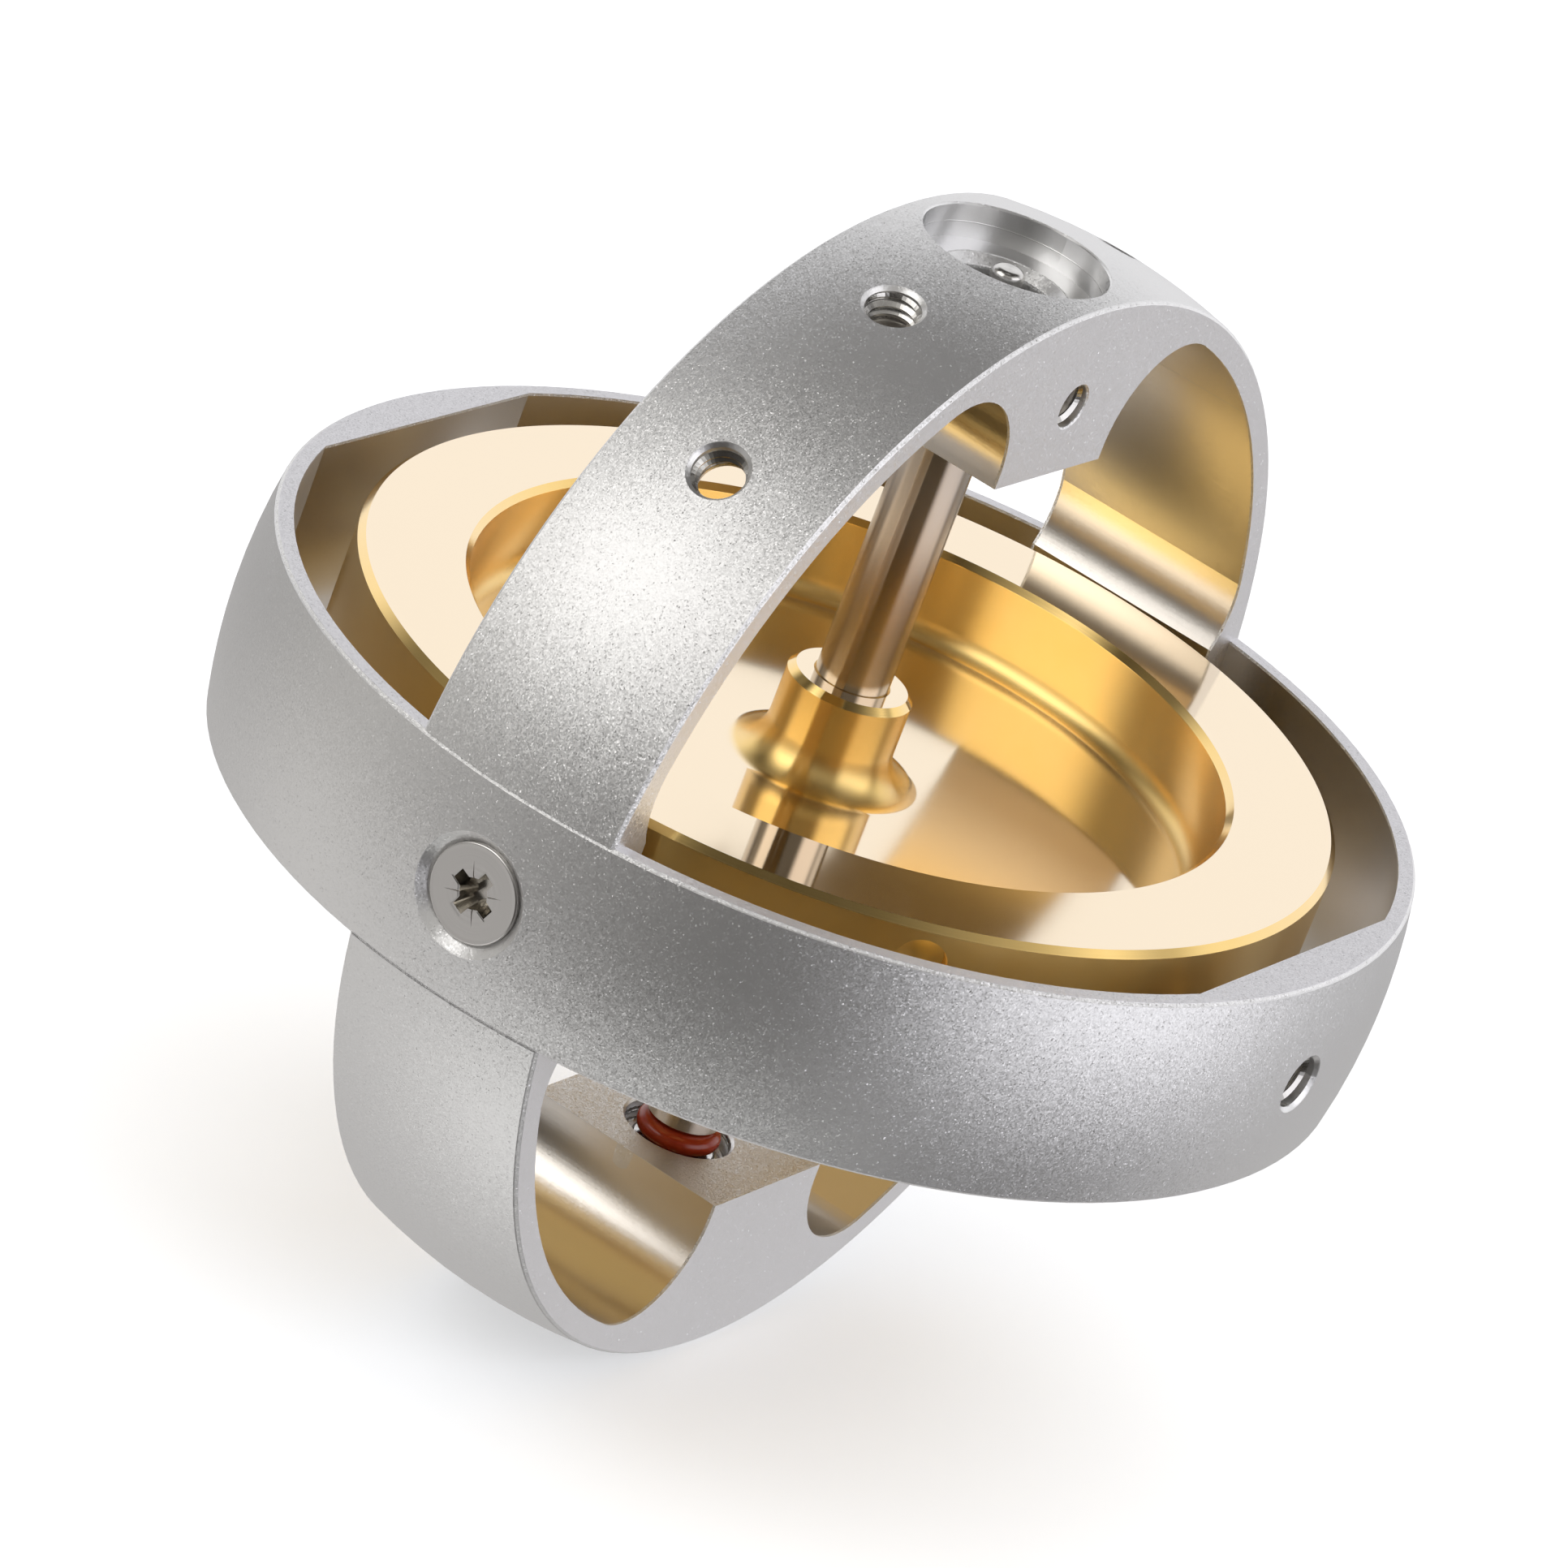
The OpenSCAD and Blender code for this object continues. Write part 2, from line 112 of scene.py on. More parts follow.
# Rotor and axle
ROTOR_TOP = 6.25
ROTOR_R = 27.4
POCKET_R = 21.2
WEB_TOP = 1.08
WALL_FILLET = 1.15
HUB_R = 3.5
HUB_FILLET = 2.0
HUB_BEVEL = 0.37
BORE_BEVEL = 0.1
LIP_BEVEL = 0.34
RIM_BEVEL = 0.36
DRILLING_R = 1.5
DRILLING_FLOOR = 26.2
DRILLING_POINT = 0.75
DRILLING_HEIGHT = 3.94
DRILLING_ANGLE = -136.5
DRILLING_OVERRUN = 1
AXLE_R = 2.05
SHOULDER = 21.45
SHOULDER_BEVEL = 0.15
NECK_R = 1.13
COLLAR = (1.4, 22.85)
JOURNAL = (1.19, 23.05)
AXLE_END = (0.93, 27.85)
AXLE_TIP = 31.0
TIP_ROUND = 0.4

# Threaded holes, and the thin skin that closes the blind ones
HOLE_R = 1.5
THREAD_DEPTH = 0.25
PITCH = 0.5
THREAD_RUN_IN = 0.6
THREAD_FOOT_SHARE = 0.47
THREAD_CREST_SHARE = 0.07
THREAD_SINK = 0.02
THREAD_LEAST_SHARE = 0.02
THREAD_STEPS = 40
HOLE_MOUTH = 32.3
HIGH_HOLE_END = 30.1
HIGH_HOLE_ANGLE = 20
LOW_HOLE_ANGLE = 45
HOLE_SKIN = 0.45
HOLE_CONE = 0.25
SKIN_PROUD = 0.04
SKIN_LEAST = 0.05
SKIN_OVERLAP = 0.5
SKIN_SHARES = (0, 0.25, 0.5, 0.75, 1)
LOCK_HOLE_R = 1.25
LOCK_HOLE_Z = 26.1
LOCK_THREAD_START = 4.9
LOCK_THREAD_END = 6.15
HOLDER_HOLE_R = 3.05
HOLDER_START = 23.15
BOSS_THREAD_INSET = 0.1
HOLDER_END = 27.65
HOLDER_HOLE_MOUTH = 29.5
HOLDER_HOLE_MOUTH_R = 3.6

# Side screws
SCREW_TOP = abs(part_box("ring_screw_left")[0].x) / MM
HEAD_R = 2.69
HEAD_EDGE = 0.28
HEAD_ROUND = 0.1
HEAD_TURN = 64
SHANK_R = 1.48
SHANK_BEVEL = 0.22
CROSS_REACH = 1.43
CROSS_HALF = 0.38
CROSS_CORE = 0.64
CROSS_STEP = 0.2
CROSS_FLARE = 0.03
CROSS_DEPTH = 1.3
CROSS_TAPER = 0.6
CROSS_MOUTH = 1.07
CROSS_EDGE = 0.05
TICK_FROM = 0.62
TICK_TO = 1.78
TICK_HALF = 0.05
TICK_DEPTH = 0.1
CUT_OVERRUN = 0.2
RECESS_EDGE = 0.06
RECESS_MARGIN = 0.1

# Turned pieces: steps round them, and parts of the arcs of their sections. A face that lies further
# than CUT_DISTANCE from the section was cut by something else. A face lies across an axis when its
# normal goes at least FACING_LEAST along it.
ROTOR_STEPS = 256
FINE_STEPS = 128
DRILL_STEPS = 64
FILLET_PARTS = 14
TIP_PARTS = 10
HEAD_PARTS = 6
CUT_DISTANCE = 0.02
FACING_LEAST = 0.3

# Colours
PLAIN_ALUMINIUM = (0.8, 0.8, 0.8)
# Both rings' flat faces are the same blasted aluminium. The upright ring's fronts are painted lighter
# and the level ring's tops are painted darker, for how light falls on them
AXLE_RING_FACE_PAINTED_LIGHT = (0.92, 0.915, 0.925)
GIRDLE_RING_FACE_PAINTED_SHADE = (0.78, 0.775, 0.795)
MACHINED_ALUMINIUM = (0.83, 0.79, 0.735)
EDGE_ALUMINIUM = (0.95, 0.95, 0.95)
# The threads are the rings' own aluminium, painted darker for the shade in the holes
THREAD_ALUMINIUM_PAINTED_SHADE = (0.6, 0.59, 0.57)
SCREW_STEEL = (0.75, 0.735, 0.715)
# The recess is the screw's own steel, painted darker for the shade in it
RECESS_STEEL_PAINTED_SHADE = (0.6, 0.575, 0.53)
BEARING_STEEL = (0.75, 0.75, 0.75)
AXLE_STEEL = (0.58, 0.515, 0.45)
AXLE_END_STEEL = (0.6, 0.59, 0.57)
GOLDEN_BRASS = ((0.88, 0.61, 0.21), (0.91, 0.66, 0.27))
# The pale brass is partly the metal's own tint at a grazing look and partly a painted sheen
PALE_BRASS_PAINTED_SHEEN = (0.86, 0.73, 0.545)
RED_RUBBER = ((0.3, 0.026, 0.007), (0.44, 0.045, 0.012))

# A quarter of a turn, as the shader counts it
QUARTER_TURN = 0.25

# Rings: roughness and lean of the grains, elsewhere, where blasted, machined, in a cup, on an edge
RING_ROUGH = (0.36, 0.47, 0.31, 0.3, 0.6)
RING_LEAN = (0.08, 0.19, 0.02, 0.02, 0.5)
RING_CLOUD_ROUGH = 0.04
RING_GRAIN_MM = 0.075
COMMON_LEAN = 0.75
RARE_LEAN = 2.0
RARE_POWER = 6.0
WINDOW_ANISOTROPY = 0.7
CUP_ANISOTROPY = 0.85

# The other finishes. A pair of roughness values is the least one and what the grain adds.
BRASS_FLAT_FROM = 0.93
# How the brass pales towards a grazing look, partly a painted sheen: where it starts and ends, and the
# share the walls get
BRASS_PALE_FROM = 0.33
BRASS_PALE_TO = 0.58
BRASS_WALL_PALE = 0.25
BRASS_BEVEL_MARGIN = 0.01
BRASS_ANISOTROPY = 1.0
BRASS_WALL_ROUGH = 0.25
BRASS_FLAT_ROUGH = 0.055
BRASS_BEVEL_ROUGH = 0.09
BRASS_STAIN_ROUGH = 0.02
BRASS_GROOVE_DEPTH = 0.0012
BRASS_FLAT_GROOVES = 0.1
AXLE_ANISOTROPY = 0.95
AXLE_ROUGH = (0.15, 0.05)
AXLE_GRAIN_DEPTH = 0.0006
METAL_GRAIN_ROUGH = 0.06
METAL_GRAIN_DEPTH = 0.002
LOCK_SCREW_ROUGH = 0.2
BEARING_ROUGH = 0.12
THREAD_ROUGH = 0.17
HEAD_ROUGH = 0.3
RECESS_ROUGH = 0.13
HEAD_GROOVE_DEPTH = 0.012
RUBBER_ROUGH = (0.16, 0.1)
RUBBER_GRAIN_DEPTH = 0.002
MACHINING_DEPTH = 0.002

# Noise: repeats in a millimetre, detail and roughness
FINE_GRAIN = (9, 2.0, 0.5)
RUBBER_GRAIN = (12, 2.0, 0.5)
RUBBER_PATCH = (2.5, 2.0, 0.5)
MACHINING_LINES = (9, 3.0, 0.6)
RING_CLOUD = (0.12, 2.0, 0.5)
BRASS_GROOVES = (10, 3.0, 0.7)
BRASS_STAIN = (0.5, 3.0, 0.5)
HEAD_GROOVES = (2.2, 3.0, 0.7)
HEAD_PATCH = (1.6, 3.0, 0.5)
MACHINING_STRETCH = 0.04


# Node tree helpers

def add(tree, kind, inputs=(), **settings):
    """A new node. Each input is a socket to link or a value to set."""
    made = tree.nodes.new("ShaderNode" + kind)
    for name, value in settings.items():
        setattr(made, name, value)
    for name, value in dict(inputs).items():
        if isinstance(value, bpy.types.NodeSocket):
            tree.links.new(value, made.inputs[name])
        else:
            made.inputs[name].default_value = value
    return made


def calc(tree, operation, *values):
    """The result of a math node."""
    return add(tree, "Math", enumerate(values), operation=operation).outputs[0]


def ramp(tree, value, low, high, from_value=0.0, to_value=1.0):
    """A smooth step from from_value, at low, to to_value, at high."""
    made = add(tree, "MapRange", {"Value": value, "From Min": low, "From Max": high,
                                  "To Min": from_value, "To Max": to_value},
               interpolation_type="SMOOTHSTEP")
    return made.outputs["Result"]


def above(tree, value, limit):
    """1 where the value is over the limit, 0 elsewhere."""
    return calc(tree, "GREATER_THAN", value, limit)


def below(tree, value, limit):
    """1 where the value is under the limit, 0 elsewhere."""
    return calc(tree, "LESS_THAN", value, limit)


def near(tree, value, middle, half):
    """1 where the value is within half of the middle, 0 elsewhere."""
    return below(tree, calc(tree, "ABSOLUTE", calc(tree, "SUBTRACT", value, middle)), half)


def both(tree, *masks):
    """The product of some masks."""
    found = masks[0]
    for mask in masks[1:]:
        found = calc(tree, "MULTIPLY", found, mask)
    return found


def either(tree, *masks):
    """The largest of some masks."""
    found = masks[0]
    for mask in masks[1:]:
        found = calc(tree, "MAXIMUM", found, mask)
    return found


def inverse(tree, mask):
    """1 where the mask is 0, and 0 where it is 1."""
    return calc(tree, "SUBTRACT", 1, mask)


def scaled(tree, vector, factor):
    """The vector times a number."""
    return add(tree, "VectorMath", {0: vector, "Scale": factor}, operation="SCALE").outputs[0]


def summed(tree, a, b):
    """The sum of two vectors."""
    return add(tree, "VectorMath", {0: a, 1: b}, operation="ADD").outputs[0]


def blend(tree, factor, low, high):
    """A number that goes from low to high as the factor goes from 0 to 1."""
    return add(tree, "Mix", {"Factor": factor, 2: low, 3: high}, data_type="FLOAT").outputs[0]


def tint(tree, factor, low, high):
    """A colour that goes from low to high as the factor goes from 0 to 1."""
    made = add(tree, "Mix", {"Factor": factor}, data_type="RGBA")
    for socket, colour in ((made.inputs[6], low), (made.inputs[7], high)):
        if isinstance(colour, bpy.types.NodeSocket):
            tree.links.new(colour, socket)
        else:
            socket.default_value = (*colour, 1)
    return made.outputs[2]


def noise(tree, vector, scale, detail, roughness):
    """Noise from 0 to 1."""
    return add(tree, "TexNoise", {"Vector": vector, "Scale": scale, "Detail": detail,
                                  "Roughness": roughness}).outputs["Fac"]


class Place:
    """A point of the surface in millimetres of the row frame, and what is worked out from it."""

    def __init__(self, tree):
        self.tree = tree
        self.point = scaled(tree, add(tree, "TexCoord").outputs["Object"], 1 / MM)
        split = add(tree, "SeparateXYZ", {0: self.point})
        self.x, self.y, self.z = split.outputs
        self.far = add(tree, "VectorMath", {0: self.point}, operation="LENGTH").outputs["Value"]

    def size(self, value):
        """The value without its sign."""
        return calc(self.tree, "ABSOLUTE", value)

    def radius(self, a, b):
        """Distance from an axis, from the two coordinates across it."""
        squares = calc(self.tree, "ADD", calc(self.tree, "MULTIPLY", a, a),
                       calc(self.tree, "MULTIPLY", b, b))
        return calc(self.tree, "SQRT", squares)

    def vector(self, x, y, z):
        """A vector from three numbers."""
        return add(self.tree, "CombineXYZ", {0: x, 1: y, 2: z}).outputs[0]


def finish_of(name, colour, metallic=1.0):
    """A material with its shader, ready for roughness and bump."""
    material = bpy.data.materials.new(name)
    material.use_nodes = True
    tree = material.node_tree
    shader = tree.nodes["Principled BSDF"]
    shader.inputs["Metallic"].default_value = metallic
    shader.inputs["Base Color"].default_value = (*colour, 1)
    return material, tree, shader


def bump(tree, shader, height, distance_mm, normal=None):
    """Puts a bump on the shader, with the height's size in millimetres."""
    made = add(tree, "Bump", {"Height": height, "Strength": 1.0, "Distance": distance_mm * MM})
    if normal:
        tree.links.new(normal, made.inputs["Normal"])
    tree.links.new(made.outputs[0], shader.inputs["Normal"])


def turned(tree, shader, strength):
    """Makes the shader blur across the fine grooves that run round the axle."""
    shader.inputs["Anisotropic"].default_value = strength
    shader.inputs["Anisotropic Rotation"].default_value = QUARTER_TURN
    tree.links.new(add(tree, "Tangent", direction_type="RADIAL", axis="Z").outputs[0],
                   shader.inputs["Tangent"])


# Materials

def sparkle(tree, place, lean):
    """A normal that leans a little, another way in each grain. A few grains lean much more."""
    grain = add(tree, "TexVoronoi", {"Vector": place.point, "Scale": 1 / RING_GRAIN_MM}).outputs
    way = summed(tree, grain["Color"], (-0.5, -0.5, -0.5))
    chance = add(tree, "TexWhiteNoise", {"Vector": grain["Position"]}).outputs["Value"]
    share = calc(tree, "MULTIPLY_ADD", calc(tree, "POWER", chance, RARE_POWER), RARE_LEAN, COMMON_LEAN)
    smooth = add(tree, "NewGeometry").outputs["Normal"]
    return summed(tree, smooth, scaled(tree, way, calc(tree, "MULTIPLY", share, lean)))


def ring_finish(name, face_painted_tone, regions):
    """Aluminium: blasted, machined, satin or with bright edges, where the regions say so."""
    material, tree, shader = finish_of(name, PLAIN_ALUMINIUM)
    place = Place(tree)
    blasted, face, machined, cup, edge = regions(tree, place)

    def choose(other, on_blasted, on_machined, in_cup, on_edge):
        """The value of the region that the surface is in."""
        found = blend(tree, blasted, other, on_blasted)
        found = blend(tree, machined, found, on_machined)
        return blend(tree, edge, blend(tree, cup, found, in_cup), on_edge)

    # The flat faces get painted light or painted shade: a tone lighter or darker than the same metal
    # elsewhere
    colour = tint(tree, face, PLAIN_ALUMINIUM, face_painted_tone)
    colour = tint(tree, machined, tint(tree, edge, colour, EDGE_ALUMINIUM), MACHINED_ALUMINIUM)
    tree.links.new(colour, shader.inputs["Base Color"])
    cloud = calc(tree, "SUBTRACT", noise(tree, place.point, *RING_CLOUD), 0.5)
    rough = calc(tree, "ADD", choose(*RING_ROUGH), calc(tree, "MULTIPLY", cloud, RING_CLOUD_ROUGH))
    tree.links.new(rough, shader.inputs["Roughness"])
    # The cups are turned, so their walls blur up and down. The windows blur along Y.
    shader.inputs["Anisotropic Rotation"].default_value = QUARTER_TURN
    blur = blend(tree, cup, calc(tree, "MULTIPLY", machined, WINDOW_ANISOTROPY), CUP_ANISOTROPY)
    tree.links.new(blur, shader.inputs["Anisotropic"])
    round_z = add(tree, "Tangent", direction_type="RADIAL", axis="Z").outputs[0]
    round_y = add(tree, "Tangent", direction_type="RADIAL", axis="Y").outputs[0]
    grooves = add(tree, "Mix", {"Factor": machined, 4: round_z, 5: round_y}, data_type="VECTOR")
    tree.links.new(grooves.outputs[1], shader.inputs["Tangent"])
    # A fine line runs round the wall of each cup
    beside = calc(tree, "SUBTRACT", place.size(place.z), CUP_LINE)
    beside = calc(tree, "DIVIDE", beside, CUP_LINE_HALF)
    in_line = both(tree, cup, below(tree, place.size(beside), 1))
    slope = both(tree, in_line, beside, calc(tree, "SIGN", place.z), CUP_LINE_SLOPE)
    normal = summed(tree, sparkle(tree, place, choose(*RING_LEAN)), place.vector(0, 0, slope))
    normal = add(tree, "VectorMath", {0: normal}, operation="NORMALIZE").outputs[0]
    # Machining leaves lines along the cutter, which stands along Y
    along = place.vector(place.x, calc(tree, "MULTIPLY", place.y, MACHINING_STRETCH), place.z)
    lines = noise(tree, along, *MACHINING_LINES)
    bump(tree, shader, calc(tree, "MULTIPLY", lines, machined), MACHINING_DEPTH, normal)
    return material


def axle_ring_regions(tree, place):
    """The upright ring: where it is blasted, flat in front, machined, a cup, and a bright edge."""
    wide = place.size(place.y)
    high = place.size(place.z)
    beside = place.radius(place.x, place.y)
    inside = below(tree, place.far, SPHERE_R - OUTSIDE_DEPTH)
    face = above(tree, wide, RING_HALF - FACE_DEPTH)
    window = both(tree, below(tree, wide, RING_HALF - EDGE_BEVEL),
                  either(tree, below(tree, high, BOSS_FACE + FACE_DEPTH),
                         above(tree, beside, CUP_R + CUP_MARGIN)))
    boss = both(tree, near(tree, high, BOSS_FACE, BOSS_DEPTH), window)
    machined = both(tree, below(tree, place.radius(place.x, place.z), MACHINED_R), window,
                    inverse(tree, boss))
    cup = both(tree, above(tree, high, CUP_FLOOR - FACE_DEPTH), inside,
               below(tree, beside, CUP_R + FACE_DEPTH))
    lips = both(tree, either(tree, near(tree, beside, HOLDER_HOLE_MOUTH_R, LIP_HALF),
                             near(tree, beside, HOLDER_HOLE_R, CREST_HALF)),
                above(tree, high, CUP_FLOOR - LIP_DEPTH), inside)
    bevel = both(tree, above(tree, wide, RING_HALF - EDGE_BEVEL), inverse(tree, face), inside)
    blasted = either(tree, inverse(tree, inside), face, boss)
    return blasted, face, machined, cup, either(tree, bevel, lips)


def girdle_ring_regions(tree, place):
    """The level ring: where it is blasted, flat on top, machined, and a bright edge. No cup."""
    high = place.size(place.z)
    inside = below(tree, place.far, SPHERE_R - OUTSIDE_DEPTH)
    face = above(tree, high, GIRDLE_HALF - FACE_DEPTH)
    machined = both(tree, below(tree, place.radius(place.x, place.y), GIRDLE_MACHINED_R),
                    below(tree, high, GIRDLE_HALF - EDGE_BEVEL))
    bevel = both(tree, above(tree, high, GIRDLE_HALF - EDGE_BEVEL), inverse(tree, face), inside)
    return either(tree, inverse(tree, inside), face), face, machined, 0.0, bevel


def brass():
    """Turned brass: mirror-bright flat faces, satin walls, and fine grooves round the axle."""
    material, tree, shader = finish_of("rotor_brass", GOLDEN_BRASS[0])
    place = Place(tree)
    radius = place.radius(place.x, place.y)
    upright = add(tree, "SeparateXYZ", {0: add(tree, "NewGeometry").outputs["Normal"]}).outputs[2]
    flat = ramp(tree, place.size(upright), BRASS_FLAT_FROM, 1.0)
    turning = noise(tree, place.vector(radius, 0, place.z), *BRASS_GROOVES)
    stain = noise(tree, place.point, *BRASS_STAIN)
    # Brass is golden when looked at squarely, and pales towards a grazing look, flat faces most: partly
    # the metal's own tint, partly a painted sheen for its bright highlights
    facing = add(tree, "LayerWeight", {"Blend": 0.5}).outputs["Facing"]
    tint_and_painted_sheen = both(tree, ramp(tree, facing, BRASS_PALE_FROM, BRASS_PALE_TO),
                blend(tree, flat, BRASS_WALL_PALE, 1.0))
    colour = tint(tree, tint_and_painted_sheen, tint(tree, stain, *GOLDEN_BRASS), PALE_BRASS_PAINTED_SHEEN)
    tree.links.new(colour, shader.inputs["Base Color"])
    bevel = above(tree, place.size(place.z), ROTOR_TOP - RIM_BEVEL - BRASS_BEVEL_MARGIN)
    bevel = both(tree, bevel, inverse(tree, flat))
    rough = blend(tree, bevel, blend(tree, flat, BRASS_WALL_ROUGH, BRASS_FLAT_ROUGH), BRASS_BEVEL_ROUGH)
    rough = calc(tree, "ADD", rough, calc(tree, "MULTIPLY", stain, BRASS_STAIN_ROUGH))
    tree.links.new(rough, shader.inputs["Roughness"])
    grooves = calc(tree, "MULTIPLY", turning, blend(tree, flat, 1.0, BRASS_FLAT_GROOVES))
    bump(tree, shader, grooves, BRASS_GROOVE_DEPTH)
    turned(tree, shader, BRASS_ANISOTROPY)
    return material


def axle_steel():
    """Ground steel: a faint speckle that blurs up the axle, and paler ends."""
    material, tree, shader = finish_of("axle_steel", AXLE_STEEL)
    place = Place(tree)
    grain = noise(tree, place.point, *FINE_GRAIN)
    end = above(tree, place.size(place.z), SHOULDER)
    tree.links.new(tint(tree, end, AXLE_STEEL, AXLE_END_STEEL), shader.inputs["Base Color"])
    least, more = AXLE_ROUGH
    rough = calc(tree, "ADD", least, calc(tree, "MULTIPLY", grain, more))
    tree.links.new(rough, shader.inputs["Roughness"])
    bump(tree, shader, grain, AXLE_GRAIN_DEPTH)
    turned(tree, shader, AXLE_ANISOTROPY)
    return material


def plain_metal(name, colour, roughness):
    """Satin metal with a fine grain."""
    material, tree, shader = finish_of(name, colour)
    place = Place(tree)
    grain = noise(tree, place.point, *FINE_GRAIN)
    rough = calc(tree, "ADD", roughness, calc(tree, "MULTIPLY", grain, METAL_GRAIN_ROUGH))
    tree.links.new(rough, shader.inputs["Roughness"])
    bump(tree, shader, grain, METAL_GRAIN_DEPTH)
    return material


def screw_metal():
    """A turned head, with a pressed recess that is smoother, and painted darker for the shade in it."""
    material, tree, shader = finish_of("screw_steel", SCREW_STEEL)
    place = Place(tree)
    across = place.radius(place.y, place.z)
    pressed = both(tree, below(tree, place.size(place.x), SCREW_TOP - RECESS_EDGE),
                   below(tree, across, CROSS_REACH + RECESS_MARGIN))
    rings = noise(tree, place.vector(across, 0, 0), *HEAD_GROOVES)
    patch = noise(tree, place.point, *HEAD_PATCH)
    rough = calc(tree, "ADD", blend(tree, pressed, HEAD_ROUGH, RECESS_ROUGH),
                 calc(tree, "MULTIPLY", patch, METAL_GRAIN_ROUGH))
    tree.links.new(rough, shader.inputs["Roughness"])
    # The recess gets painted shade: a darker colour than the head
    tree.links.new(tint(tree, pressed, SCREW_STEEL, RECESS_STEEL_PAINTED_SHADE), shader.inputs["Base Color"])
    bump(tree, shader, calc(tree, "MULTIPLY", rings, inverse(tree, pressed)), HEAD_GROOVE_DEPTH)
    return material


def rubber():
    """Red rubber with a soft sheen."""
    material, tree, shader = finish_of("seal_rubber", RED_RUBBER[0], 0.0)
    place = Place(tree)
    patch = noise(tree, place.point, *RUBBER_PATCH)
    tree.links.new(tint(tree, patch, *RED_RUBBER), shader.inputs["Base Color"])
    least, more = RUBBER_ROUGH
    rough = calc(tree, "ADD", least, calc(tree, "MULTIPLY", patch, more))
    tree.links.new(rough, shader.inputs["Roughness"])
    bump(tree, shader, noise(tree, place.point, *RUBBER_GRAIN), RUBBER_GRAIN_DEPTH)
    return material


def dress(nodes, material):
    """Gives CAD nodes a material."""
    for name in nodes:
        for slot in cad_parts[name].material_slots:
            slot.material = material


# Turned pieces: a half section is a list of edges, each with its two ends as (radius, height)
# and the middle of its circle, or None where it is straight. The metal is on its left.

def straight(*points):
    """Straight edges from point to point."""
    return [(p, q, None) for p, q in zip(points, points[1:])]


def curve(middle, radius, start, end, parts):
    """An arc between two angles in degrees, as short edges that remember the arc's middle."""
    angles = [math.radians(start + (end - start) * i / parts) for i in range(parts + 1)]
    points = [(middle[0] + radius * math.cos(a), middle[1] + radius * math.sin(a)) for a in angles]
    return [(p, q, middle) for p, q in zip(points, points[1:])]


def and_below(edges):
    """The edges and their mirror images below the middle, as one walk."""
    def under(point):
        """The mirror image of a point below the middle."""
        return point and (point[0], -point[1])
    return edges + [(under(q), under(p), under(m)) for p, q, m in reversed(edges)]


def turn(edges, steps):
    """A mesh turned from a half section, in metres."""
    verts, rings, faces = [], {}, []
    for p, q, _ in edges:
        for r, z in (p, q):
            key = (round(r, 5), round(z, 5))
            if key in rings:
                continue
            count = steps if r > 1e-6 else 1
            rings[key] = [len(verts) + i % count for i in range(steps)]
            for i in range(count):
                angle = 2 * math.pi * i / steps
                verts.append((r * math.cos(angle) * MM, r * math.sin(angle) * MM, z * MM))
    for p, q, _ in edges:
        a, b = rings[round(p[0], 5), round(p[1], 5)], rings[round(q[0], 5), round(q[1], 5)]
        for i in range(steps):
            j = (i + 1) % steps
            faces.append(tuple(dict.fromkeys((a[i], a[j], b[j], b[i]))))
    mesh = bpy.data.meshes.new("turned")
    mesh.from_pydata(verts, [], faces)
    return mesh


def edge_distance(edge, r, z):
    """How far a point of the half section is from an edge."""
    (pr, pz), (qr, qz), _ = edge
    dr, dz = qr - pr, qz - pz
    share = max(0, min(1, ((r - pr) * dr + (z - pz) * dz) / (dr * dr + dz * dz)))
    return math.hypot(pr + share * dr - r, pz + share * dz - z)


def edge_normal(edge, r, z):
    """The outward normal of an edge at a point, as (radius, height)."""
    (pr, pz), (qr, qz), middle = edge
    across = Vector((qz - pz, pr - qr)).normalized()
    if middle is None:
        return across
    away = Vector((r - middle[0], z - middle[1])).normalized()
    return away if away.dot(across) > 0 else -away


def true_normals(mesh, edges, other=None):
    """Shades a turned mesh by its exact section. other gives the normals of what was cut in it."""
    normals = []
    for face in mesh.polygons:
        face.use_smooth = True
        middle = face.center / MM
        at = (math.hypot(middle.x, middle.y), middle.z)
        closest = min(edges, key=lambda edge: edge_distance(edge, *at))
        was_cut = other and edge_distance(closest, *at) > CUT_DISTANCE
        for index in face.vertices:
            point = mesh.vertices[index].co / MM
            if was_cut:
                normals.append(other(point, face.normal))
                continue
            r = math.hypot(point.x, point.y)
            out, up = edge_normal(closest, r, point.z)
            side = point if r > 1e-4 else middle
            span = math.hypot(side.x, side.y)
            normals.append((out * side.x / span, out * side.y / span, up))
    mesh.normals_split_custom_set(normals)


def show(name, mesh, material, body):
    """Puts a mesh in the scene as a piece that moves with a body."""
    mesh.name = name
    mesh.materials.clear()
    mesh.materials.append(material)
    piece = bpy.data.objects.new(name, mesh)
    bpy.context.scene.collection.objects.link(piece)
    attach(piece, body)
    return piece


def mesh_of(work, name):
    """The mesh of a bmesh that was made in millimetres, with its faces turned outwards."""
    bmesh.ops.scale(work, vec=(MM, MM, MM), verts=work.verts)
    bmesh.ops.recalc_face_normals(work, faces=work.faces)
    mesh = bpy.data.meshes.new(name)
    work.to_mesh(mesh)
    work.free()
    return mesh


